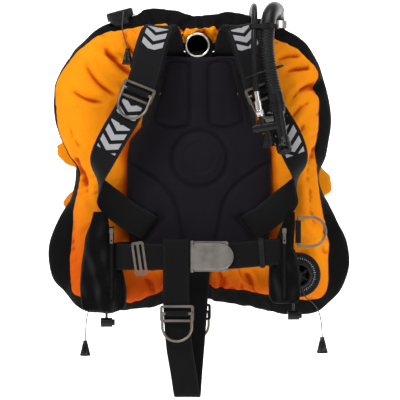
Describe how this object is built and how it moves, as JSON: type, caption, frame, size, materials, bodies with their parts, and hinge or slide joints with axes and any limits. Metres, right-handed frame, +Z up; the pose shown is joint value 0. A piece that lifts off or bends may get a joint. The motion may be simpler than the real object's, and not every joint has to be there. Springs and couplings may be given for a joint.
{
  "type": "buoyancy compensator vest",
  "caption": "Diving buoyancy vest: orange donut wing, steel backplate with moulded pad, webbing harness, power inflator, dump valves and hip pockets.",
  "frame": {"origin": "centre of the two tank bolt holes at the backplate's rear face", "axes": "+Y out of the backplate's rear face towards the tank, +Z up the wearer's back, +X to the wearer's left"},
  "size_m": [0.603, 0.3177, 0.7724],
  "materials": {
    "orange_shell": "orange woven nylon",
    "black_shell": "black woven nylon",
    "bladder": "coated bladder film",
    "webbing": "woven polyester webbing",
    "pad_foam": "moulded foam under smooth nylon",
    "soft_pad": "neoprene",
    "steel": "brushed stainless steel",
    "coated_steel": "black powder-coated steel",
    "black_plastic": "moulded black plastic",
    "hose_rubber": "black hose rubber",
    "chrome": "plated brass",
    "silicone": "silicone seal",
    "grey_cord": "braided cord",
    "shock_cord": "braided shock cord"
  },
  "bodies": {
    "vest": {"wing_front_panel": "orange_shell", "wing_gusset": "black_shell", "wing_back_panel": "orange_shell", "wing_bladder": "bladder", "wing_centre_panel": "black_shell", "wing_zip": "black_plastic", "backplate": "coated_steel", "backpad": "pad_foam", "pad_screws": "steel", "badge": "hose_rubber", "shoulder_strap_left": "webbing", "shoulder_strap_right": "webbing", "shoulder_pads": "soft_pad", "waist_belt_left": "webbing", "waist_belt_right": "webbing", "crotch_strap": "webbing", "steel_slides": "steel", "plastic_slides": "black_plastic", "ring_loops": "webbing", "buckle_frame": "steel", "buckle_pin": "steel", "pocket_left": "black_shell", "pocket_right": "black_shell", "pocket_zips": "black_plastic", "pocket_cord_left": "shock_cord", "pocket_cord_right": "shock_cord", "cord_locks": "black_plastic", "hose_elbow": "black_plastic", "elbow_ring": "chrome", "inflator_hose": "hose_rubber", "inflator_body": "black_plastic", "mouthpiece": "hose_rubber", "hose_nipple": "chrome", "lp_hose": "hose_rubber", "lp_fitting": "chrome", "hose_keepers": "hose_rubber", "valve_bases": "black_plastic", "valve_caps": "black_plastic"},
    "lever": {"buckle_lever": "steel"},
    "ring_shoulder_right": {"shoulder_ring_right": "steel"},
    "ring_shoulder_left": {"shoulder_ring_left": "steel"},
    "ring_crotch_front": {"crotch_ring_front": "steel"},
    "ring_crotch_rear": {"crotch_ring_rear": "steel"},
    "ring_hip": {"hip_ring": "steel"},
    "inflate": {"inflate_button": "black_plastic"},
    "deflate": {"deflate_button": "black_plastic"},
    "sleeve": {"quick_sleeve": "chrome"},
    "pull_top": {"pull_cord_top": "grey_cord", "pull_knob_top": "black_plastic"},
    "poppet_top": {"poppet_top": "silicone"},
    "pull_front": {"pull_cord_front": "grey_cord", "pull_knob_front": "black_plastic"},
    "poppet_front": {"poppet_front": "silicone"},
    "pull_rear": {"pull_cord_rear": "grey_cord", "pull_knob_rear": "black_plastic"},
    "poppet_rear": {"poppet_rear": "silicone"},
    "zip_right": {"zip_pull_right": "black_plastic"},
    "zip_left": {"zip_pull_left": "black_plastic"},
    "lock_right": {"lock_button_right": "black_plastic"},
    "lock_left": {"lock_button_left": "black_plastic"}
  },
  "joints": [
    {"name": "buckle_hinge", "type": "hinge", "parent": "vest", "child": "lever", "pos_m": [-0.013, -0.1242, -0.207], "axis": [0, 0, -1], "range_deg": [0, 110]},
    {"name": "shoulder_ring_right_hinge", "type": "hinge", "parent": "vest", "child": "ring_shoulder_right", "pos_m": [-0.11673, -0.13617, 0.10667], "axis": [-0.9272, 0, 0.3746], "range_deg": [0, 120]},
    {"name": "shoulder_ring_left_hinge", "type": "hinge", "parent": "vest", "child": "ring_shoulder_left", "pos_m": [0.12181, -0.11919, 0.10844], "axis": [-0.9205, 0, -0.3907], "range_deg": [0, 11]},
    {"name": "crotch_ring_front_hinge", "type": "hinge", "parent": "vest", "child": "ring_crotch_front", "pos_m": [-0.042, -0.1295, -0.316], "axis": [-1, 0, 0], "range_deg": [0, 115]},
    {"name": "crotch_ring_rear_hinge", "type": "hinge", "parent": "vest", "child": "ring_crotch_rear", "pos_m": [-0.009, -0.04156, -0.31939], "axis": [1, 0, 0], "range_deg": [-8, 75]},
    {"name": "hip_ring_hinge", "type": "hinge", "parent": "vest", "child": "ring_hip", "pos_m": [0.192, -0.099, -0.16], "axis": [0, 0, -1], "range_deg": [-22, 90]},
    {"name": "inflate_press", "type": "slide", "parent": "vest", "child": "inflate", "axis": [0.9877, 0, 0.1564], "range_m": [0, 0.004], "stiffness_N_per_m": 700},
    {"name": "deflate_press", "type": "slide", "parent": "vest", "child": "deflate", "axis": [-0.1281, 0.5736, 0.8091], "range_m": [0, 0.004], "stiffness_N_per_m": 700},
    {"name": "sleeve_pull", "type": "slide", "parent": "vest", "child": "sleeve", "axis": [-0.1564, 0, 0.9877], "range_m": [0, 0.005], "stiffness_N_per_m": 700},
    {"name": "pull_top", "type": "slide", "parent": "vest", "child": "pull_top", "axis": [0.2602, -0.2903, -0.9209], "range_m": [0, 0.01], "stiffness_N_per_m": 900},
    {"name": "poppet_lift_top", "type": "slide", "parent": "vest", "child": "poppet_top", "axis": [-0.2563, -0.1392, 0.9565], "range_m": [0, 0.0032]},
    {"name": "pull_front", "type": "slide", "parent": "vest", "child": "pull_front", "axis": [0.0698, 0, -0.9976], "range_m": [0, 0.01], "stiffness_N_per_m": 900},
    {"name": "poppet_lift_front", "type": "slide", "parent": "vest", "child": "poppet_front", "axis": [0, -1, 0], "range_m": [0, 0.0032]},
    {"name": "pull_rear", "type": "slide", "parent": "vest", "child": "pull_rear", "axis": [-0.0499, 0, -0.9988], "range_m": [0, 0.01], "stiffness_N_per_m": 900},
    {"name": "poppet_lift_rear", "type": "slide", "parent": "vest", "child": "poppet_rear", "axis": [0, 1, 0], "range_m": [0, 0.0032]},
    {"name": "zip_slide_right", "type": "slide", "parent": "vest", "child": "zip_right", "axis": [0, 0, -1], "range_m": [0, 0.1]},
    {"name": "zip_slide_left", "type": "slide", "parent": "vest", "child": "zip_left", "axis": [0, 0, -1], "range_m": [0, 0.1]},
    {"name": "lock_press_right", "type": "slide", "parent": "vest", "child": "lock_right", "axis": [-1, 0, 0], "range_m": [0, 0.004], "stiffness_N_per_m": 700},
    {"name": "lock_press_left", "type": "slide", "parent": "vest", "child": "lock_left", "axis": [-1, 0, 0], "range_m": [0, 0.004], "stiffness_N_per_m": 700}
  ],
  "couplings": [
    {"joint": "poppet_lift_top", "follows": "pull_top", "ratio": 0.3},
    {"joint": "poppet_lift_front", "follows": "pull_front", "ratio": 0.3},
    {"joint": "poppet_lift_rear", "follows": "pull_rear", "ratio": 0.3}
  ]
}
